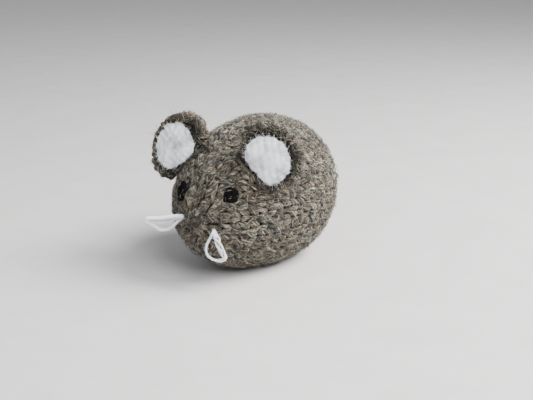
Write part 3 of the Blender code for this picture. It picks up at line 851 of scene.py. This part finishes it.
def ear_sewing(side, rng):
    """The yarn that whips the ear to the head, over and over in front of its root."""
    origin, axes = ear_frame(side)
    angle = np.linspace(0.0, math.pi, 70)
    across = SEWING_HALF_LENGTH * np.cos(angle)
    along = SEWING_FRONT * np.sin(angle) ** 0.7
    flat = origin + np.stack([across, 0 * across, along], -1) @ axes
    wave = np.cos(2 * SEWING_STITCHES * angle)
    points, normals = settle(flat, SEWING_LIFT + SEWING_HOPS * (1 - wave))
    radius, change = SEWING_YARN
    radii = radius + change * wave
    legs = (points[None], normals[None], radii[None])
    obj = wool_object(side + "_sewing_yarn", legs, rng, tone=-0.06)
    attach(obj, "body")
    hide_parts(side + "_ear_sewing")


# ---- felt linings ----
def felt_lining(side, rng):
    """A hand-cut piece of felt: nicked edge, soft face, dimpled where it's stitched."""
    origin, axes = ear_frame(side)
    origin = origin + EAR_SHIFT[side] @ axes[:2]
    angle = TAU * np.arange(FELT_AROUND) / FELT_AROUND
    nick = np.zeros(FELT_AROUND)
    for waves, size in FELT_NICKS:
        nick += size * np.sin(waves * angle + rng.uniform(0, TAU))
    outline = felt_outline(angle) + nick
    half = FELT_THICKNESS / 2
    steps = []
    for index in range(2 * FELT_RINGS + 1):
        polar = math.pi * index / (2 * FELT_RINGS)
        steps.append((math.sin(polar) ** 0.8, math.cos(polar)))
    points = []
    for reach, height in steps:
        x = FELT_SHIFT_OUT + outline * reach * np.cos(angle)
        y = FELT_SHIFT_UP + outline * reach * np.sin(angle)
        level = ear_cup(x, y) + EAR_THICKNESS / 2 + FELT_LIFT
        depth = math.copysign(abs(height) ** 0.32, height) * half
        z = level + depth
        if height > 0:
            crown = FELT_CROWN * (1 - reach ** 2)
            z = z + crown + 0.13 * np.sin(1.9 * x + 0.7 * y) * np.sin(1.3 * y - 0.6 * x)
            z = z - dimples(x, y)
        points.append(np.stack([x, y, z], -1))
    points = np.array(points)
    rough = rng.normal(0, FELT_ROUGHNESS, points.shape[:2])
    points[..., 2] += rough * np.array([min(1.0, 4 * reach) for reach, _ in steps])[:, None]
    points = origin + points.reshape(-1, 3) @ axes
    faces = tube_faces(1, len(steps), FELT_AROUND)
    obj = make_object(side + "_felt", points, faces, FELT)
    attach(obj, side + "_ear")
    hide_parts(side + "_ear_felt")
    add_felt_fuzz(side, points.reshape(len(steps), FELT_AROUND, 3), axes, rng)


def dimples(x, y):
    """Depth pulled in by the running stitches, at both ends of each."""
    depth = np.zeros_like(x)
    for stitch in range(2 * THREAD_STITCHES):
        at = TAU * (stitch + 0.5) / (2 * THREAD_STITCHES)
        reach = felt_outline(at) * THREAD_INSET
        far = np.hypot(x - FELT_SHIFT_OUT - reach * math.cos(at),
                       y - FELT_SHIFT_UP - reach * math.sin(at))
        depth += DIMPLE_DEPTH * np.exp(-(far / DIMPLE_RADIUS) ** 2)
    return depth


def add_felt_fuzz(side, grid, axes, rng):
    """Short white fibres that stand off the felt's cut edge and face."""
    count = FELT_FUZZ
    rim = grid.shape[0] // 2
    at_edge = rng.uniform(0, 1, count) < 0.55
    edge_ring = rng.integers(rim - 7, rim + 3, count)
    face_ring = rng.integers(2, rim - 2, count)
    ring = np.where(at_edge, edge_ring, face_ring)
    spot = rng.integers(0, grid.shape[1], count)
    root = grid[ring, spot]
    outer = normalised(grid[rim, spot] - grid[0, 0])
    edge = np.clip((ring - rim + 9) / 7.0, 0, 1)[:, None]
    heading = normalised(outer * edge + axes[2] * (0.55 + 0.3 * (1 - edge))
                         + rng.normal(0, 0.55, (count, 3)))
    length = rng.uniform(*FELT_FUZZ_LENGTHS, (count, 1, 1))
    bend = rng.normal(0, 0.5, (count, 3))
    points, _ = fibres(root, heading, bend, length, np.broadcast_to(axes[2], root.shape),
                       FELT_FIBRE_RADIUS, FELT_FIBRE_TAPER)
    faces = tube_faces(count, len(FELT_FIBRE_TAPER), FIBRE_SIDES)
    obj = make_object(side + "_felt_fuzz", points, faces, FELT)
    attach(obj, side + "_ear")


# ---- eyes ----
def dome(reach, height, half_width, depth):
    return height * np.sqrt(np.clip(1 - (reach / half_width) ** 2, 0, 1)) - depth


def eye(side, rng):
    """A knot of black yarn: wound round a core and domed, with two stitches over it."""
    middle = np.mean(np.array(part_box(side + "_eye")), axis=0) / MM
    middle, normal = (part[0] for part in settle(middle[None], [0.0]))
    wide, tall = (size / EYE_RADIUS for size in EYE_SIZES[side])
    up = normalised(np.array([0.25 * SIDES[side], 0.0, 1.0]) - normal * normal[2])
    across = np.cross(up, normal)
    share = np.linspace(0.0, 1.0, EYE_POINTS)
    paths, radii = [], []
    for start, turns, inner, outer in EYE_WINDINGS:
        turn = start + turns * TAU * share
        reach = inner + (outer - inner) * share + rng.normal(0, 0.03)
        rise = dome(reach, *EYE_DOME) - 1.2 * np.clip((share - 0.9) / 0.1, 0, 1)
        paths.append(middle + np.outer(reach * np.cos(turn) * wide, across)
                     + np.outer(reach * np.sin(turn) * tall, up)
                     + np.outer(rise, normal))
        radii.append(EYE_YARN * (0.8 + 0.2 * np.sin(math.pi * share)))
    for tilt, off in EYE_STITCHES:
        run = (2 * share - 1) * EYE_STITCH_REACH
        rise = dome(run, *EYE_STITCH_DOME)
        along = across * math.cos(tilt) * wide + up * math.sin(tilt) * tall
        paths.append(middle + np.outer(run, along) + off * np.cross(normal, along)
                     + np.outer(rise, normal))
        radii.append(np.full(EYE_POINTS, EYE_STITCH_YARN))
    run = 2 * share - 1
    paths.append(middle + np.outer(EYE_CORE_REACH * tall * run, up) - EYE_CORE_DEPTH * normal)
    radii.append(EYE_CORE_RADIUS * np.sqrt(1 - 0.98 * run ** 2))
    paths, radii = np.array(paths), np.array(radii)
    lifts = np.broadcast_to(normal, paths.shape)
    points, strand = sweep(paths, lifts, radii, EYE_SIDES, ply=0.12,
                           phase=rng.uniform(0, TAU, len(paths)))
    faces = tube_faces(len(paths), EYE_POINTS, EYE_SIDES)
    obj = make_object(side + "_eye_knot", points, faces, BLACK,
                      {"strand": strand, "tone": np.zeros(len(points))})
    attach(obj, "body")
    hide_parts(side + "_eye")
    fibres = add_fuzz(side + "_eye_fibres", (paths, lifts, radii), EYE_FUZZ, EYE_FUZZ_LENGTHS,
                      rng, WOOL, radius=0.06)
    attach(fibres, "body")


# ---- whiskers ----
def smooth_path(corners, count):
    """Catmull-Rom curve through corners, evenly spaced."""
    corners = np.array(corners, float)
    padded = np.vstack([2 * corners[0] - corners[1], corners, 2 * corners[-1] - corners[-2]])
    parts = []
    for index in range(len(corners) - 1):
        a, b, c, d = padded[index:index + 4]
        t = np.linspace(0, 1, 24, endpoint=False)[:, None]
        parts.append(0.5 * (2 * b + (c - a) * t + (2 * a - 5 * b + 4 * c - d) * t ** 2
                            + (3 * b - a - 3 * c + d) * t ** 3))
    path = np.vstack(parts + [corners[-1:]])
    run = np.concatenate([[0.0], np.cumsum(np.linalg.norm(np.diff(path, axis=0), axis=1))])
    want = np.linspace(0, run[-1], count)
    return np.stack([np.interp(want, run, path[:, k]) for k in range(3)], -1)


def whisker_frame(side):
    """The loop's hinge point, and the directions sideways, out of its plane and lengthways."""
    mirror = SIDES[side]
    swing, lean, twist = (math.radians(turn) for turn in WHISKER_TURNS[side])
    yaw = math.radians(WHISKER_AXIS_YAW)
    hinge = Vector((math.cos(yaw) * mirror, math.sin(yaw), 0.0))
    outward = Vector((math.sin(yaw) * mirror, -math.cos(yaw), 0.0))
    reach = outward * math.sin(swing) - Vector((0, 0, 1)) * math.cos(swing)
    turn = Matrix((hinge, reach.cross(hinge), reach)).transposed()
    turn = turn @ Matrix.Rotation(lean, 3, "Y") @ Matrix.Rotation(twist, 3, "Z")
    origin = np.array(JOINTS[side + "_whisker_swing"]["pos_m"]) / MM
    return origin, np.array(turn).T


def whisker(side, rng):
    """A loop of soft cotton: three loosely twisted plies that spread flat where it's slack."""
    origin, axes = whisker_frame(side)
    foot, normal = settle(origin[None], [0.0])
    hole = (foot[0] - normal[0] * WHISKER_DEPTH - origin) @ axes.T
    paths, radii, lifts = [], [], []
    for corners, (thin, thick), (tight, spread) in WHISKER_STRANDS[side]:
        ends = [(1 - WHISKER_TUCK) * np.array(end) + WHISKER_TUCK * hole
                for end in (corners[0], corners[-1])]
        path = smooth_path([ends[0], *corners, ends[1]], WHISKER_RINGS)
        share = np.linspace(0, 1, WHISKER_RINGS)
        slack = (np.clip((share - WHISKER_SLACK[0]) / WHISKER_SLACK[1], 0, 1)
                 * np.clip((WHISKER_TIGHT[0] - share) / WHISKER_TIGHT[1], 0, 1))
        run = np.linalg.norm(np.gradient(path, axis=0), axis=1).cumsum()
        level = np.array([0.0, 1.0, 0.0])
        side_way = normalised(np.cross(normalised(np.gradient(path, axis=0)), level))
        for ply in (0.0, TAU / 3, 2 * TAU / 3):
            twist = WHISKER_TWIST[0] - WHISKER_TWIST[1] * slack
            turn = twist * run + ply + 0.25 * np.sin(0.9 * run)
            wide = tight + (spread - tight) * slack
            off = (side_way * (np.cos(turn) * wide)[:, None]
                   + level * (np.sin(turn) * (0.2 + 0.35 * wide))[:, None])
            paths.append(origin + (path + off) @ axes)
            lifts.append(np.broadcast_to(level @ axes, paths[-1].shape))
            radii.append(thin + (thick - thin) * slack)
    legs = (np.array(paths), np.array(lifts), np.array(radii))
    points, strand = sweep(*legs, WHISKER_SIDES, ply=0.05,
                           phase=rng.uniform(0, TAU, len(paths)))
    faces = tube_faces(len(paths), WHISKER_RINGS, WHISKER_SIDES)
    obj = make_object(side + "_whisker_yarn", points, faces, COTTON,
                      {"strand": strand, "tone": np.zeros(len(points))})
    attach(obj, side + "_whisker")
    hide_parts(side + "_whisker")
    fuzz = add_fuzz(side + "_whisker_fuzz", legs, WHISKER_FUZZ, WHISKER_FUZZ_LENGTHS, rng,
                    COTTON, radius=0.05)
    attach(fuzz, side + "_whisker")


# ---- camera, light and floor ----
def aim(name, data, azimuth, elevation, distance):
    """A camera or light at a distance from the mouse, turned towards it."""
    a, e = math.radians(azimuth), math.radians(elevation)
    back = Vector((math.sin(a) * math.cos(e), -math.cos(a) * math.cos(e), math.sin(e)))
    turn = back.to_track_quat("Z", "Y").to_matrix().to_4x4()
    obj = bpy.data.objects.new(name, data)
    bpy.context.scene.collection.objects.link(obj)
    obj.matrix_world = Matrix.Translation(CAMERA_TARGET + back * distance) @ turn
    return obj


def add_camera():
    data = bpy.data.cameras.new("camera")
    data.lens = CAMERA_LENS
    data.sensor_width = 36.0
    data.sensor_fit = "HORIZONTAL"
    data.clip_start = 0.01
    data.clip_end = 20.0
    bpy.context.scene.camera = aim("camera", data, CAMERA_AZIMUTH, CAMERA_ELEVATION,
                                   CAMERA_DISTANCE)


def add_light(name, azimuth, elevation, distance, size, watts, colour):
    data = bpy.data.lights.new(name, "AREA")
    data.shape = "DISK"
    data.size = size
    data.energy = watts
    data.color = colour
    aim(name, data, azimuth, elevation, distance)


def add_stage():
    bpy.ops.mesh.primitive_plane_add(size=4.0, location=(0, 0, 0))
    floor = bpy.context.object
    floor.name = "floor"
    floor.data.materials.append(surface_material("pale_floor", [
        (0.3, (0.60, 0.575, 0.56)), (0.7, (0.66, 0.635, 0.62)),
    ], scale=40.0, roughness=0.7, bump=0.02))
    world = bpy.data.worlds.new("soft_light")
    world.use_nodes = True
    background = world.node_tree.nodes["Background"]
    background.inputs["Color"].default_value = (0.90, 0.94, 1.0, 1)
    background.inputs["Strength"].default_value = 0.55
    bpy.context.scene.world = world
    add_light("window", azimuth=114, elevation=46, distance=0.7, size=0.42, watts=14.0,
              colour=(1.0, 0.99, 0.98))
    add_light("sky", azimuth=62, elevation=40, distance=0.8, size=0.5, watts=7.5,
              colour=(0.96, 0.98, 1.0))


add_camera()
add_stage()
random = np.random.default_rng(7)
body_knitting(random)
body_lining()
gather("nose_gather", "nose_gather_yarn", random)
gather("rump_gather", "rump_gather_yarn", random)
for SIDE in SIDES:
    ear_knitting(SIDE, random)
    ear_sewing(SIDE, random)
    felt_lining(SIDE, random)
    eye(SIDE, random)
    whisker(SIDE, random)
for node_name, finish in (("stuffing", FIBRE), ("whisker_yarn_run", THREAD),
                          ("left_ear_felt_thread", THREAD), ("right_ear_felt_thread", THREAD)):
    for slot in frame["nodes"][node_name].material_slots:
        slot.material = finish
